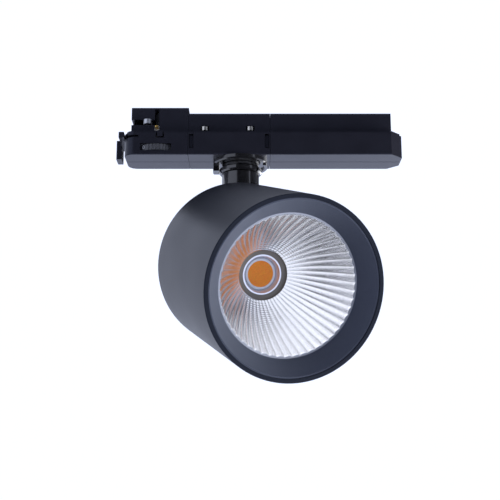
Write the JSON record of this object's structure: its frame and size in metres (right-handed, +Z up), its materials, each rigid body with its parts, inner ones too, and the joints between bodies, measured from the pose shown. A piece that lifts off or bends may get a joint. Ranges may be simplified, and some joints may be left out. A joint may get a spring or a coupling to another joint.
{
  "type": "track spotlight",
  "caption": "Round black track spotlight: faceted bowl reflector in a cylindrical head that tilts and pans below a long in-track adapter with driver.",
  "frame": {"origin": "on the swivel axis, in the plane where the adapter's lid seats against the underside of the track", "axes": "+X along the track away from the lock lever, +Z up into the track, the head points towards -Y when its yaw is zero"},
  "size_m": [0.1596, 0.1214, 0.1597],
  "materials": {
    "casing_black": "moulded, fine satin",
    "dial_grey": "moulded, knurled rim",
    "lever_black": "moulded, satin",
    "nylon": "moulded nylon",
    "brass": "stamped strip",
    "spring_steel": "rolled strip",
    "steel": "zinc plated",
    "board_green": "laminate with solder mask",
    "terminal_grey": "moulded",
    "ferrite": "ferrite core and taped winding",
    "can_aluminium": "sleeved cans",
    "swivel_black": "glossy black",
    "arm_paint": "powder coat",
    "head_paint": "fine-textured powder coat",
    "trim_black": "semi-gloss",
    "reflector_mirror": "vacuum metallised, faceted",
    "holder_grey": "moulded",
    "cone_chrome": "metallised bevel",
    "board_white": "ceramic white",
    "phosphor": "silicone with phosphor",
    "pad_grey": "thermal pad",
    "sink_aluminium": "die cast",
    "cable_black": "sheathed lead",
    "grommet_rubber": "moulded rubber"
  },
  "bodies": {
    "adapter": {"head_shell": "casing_black", "contact_tower": "casing_black", "neutral_contacts": "brass", "carrier_shell": "casing_black", "carrier_tower": "casing_black", "earth_contacts": "spring_steel", "driver_shell": "casing_black", "driver_tower": "casing_black", "lid_screws": "steel", "driver_board": "board_green", "terminal_block": "terminal_grey", "transformer": "ferrite", "capacitors": "can_aluminium", "lock_detent": "spring_steel", "swivel_ring": "swivel_black", "stop_post": "steel", "feed_cable": "cable_black"},
    "phase_dial": {"phase_dial": "dial_grey"},
    "phase_carriage": {"phase_slider": "nylon", "phase_blade": "brass"},
    "lock_lever": {"lock_slide": "lever_black"},
    "lock_cam": {"lock_cam": "steel"},
    "swivel": {"slip_washer": "swivel_black", "collar_nut": "swivel_black", "neck": "swivel_black", "stop_washer": "steel", "wave_washer": "spring_steel", "top_nut": "steel", "arm": "arm_paint", "arm_screws": "steel", "tilt_screws": "steel", "friction_washers": "steel", "stem_cable": "cable_black"},
    "head": {"housing": "head_paint", "rear_cover": "head_paint", "cover_screws": "steel", "trim_ring": "trim_black", "reflector": "reflector_mirror", "led_holder": "holder_grey", "holder_screws": "steel", "light_cone": "cone_chrome", "led_board": "board_white", "led_phosphor": "phosphor", "thermal_pad": "pad_grey", "heat_sink": "sink_aluminium", "sink_screws": "steel", "tilt_bracket": "steel", "bracket_screws": "steel", "cable_grommet": "grommet_rubber", "lamp_cable": "cable_black"}
  },
  "joints": [
    {"name": "pan", "type": "hinge", "parent": "adapter", "child": "swivel", "pos_m": [0, 0, -0.016], "axis": [0, 0, 1], "range_deg": [-189.5, 150.5]},
    {"name": "tilt", "type": "hinge", "parent": "swivel", "child": "head", "pos_m": [0, 0, -0.0786], "axis": [0.9426, 0.3338, 0], "range_deg": [0, 70.5]},
    {"name": "phase_select", "type": "hinge", "parent": "adapter", "child": "phase_dial", "pos_m": [-0.0465, 0, -0.0095], "axis": [0, 0, 1], "range_deg": [0, 270]},
    {"name": "phase_lift", "type": "slide", "parent": "adapter", "child": "phase_carriage", "axis": [0, 0, 1], "range_m": [0, 0.009]},
    {"name": "lock_pull", "type": "slide", "parent": "adapter", "child": "lock_lever", "axis": [-1, 0, 0], "range_m": [0, 0.0037]},
    {"name": "cam_turn", "type": "hinge", "parent": "adapter", "child": "lock_cam", "pos_m": [-0.0516, 0, -0.003], "axis": [0, 0, -1], "range_deg": [0, 90]}
  ],
  "couplings": [
    {"joint": "phase_select", "follows": "phase_lift", "rad_per_m": 523.6},
    {"joint": "cam_turn", "follows": "lock_pull", "rad_per_m": 416.67}
  ]
}
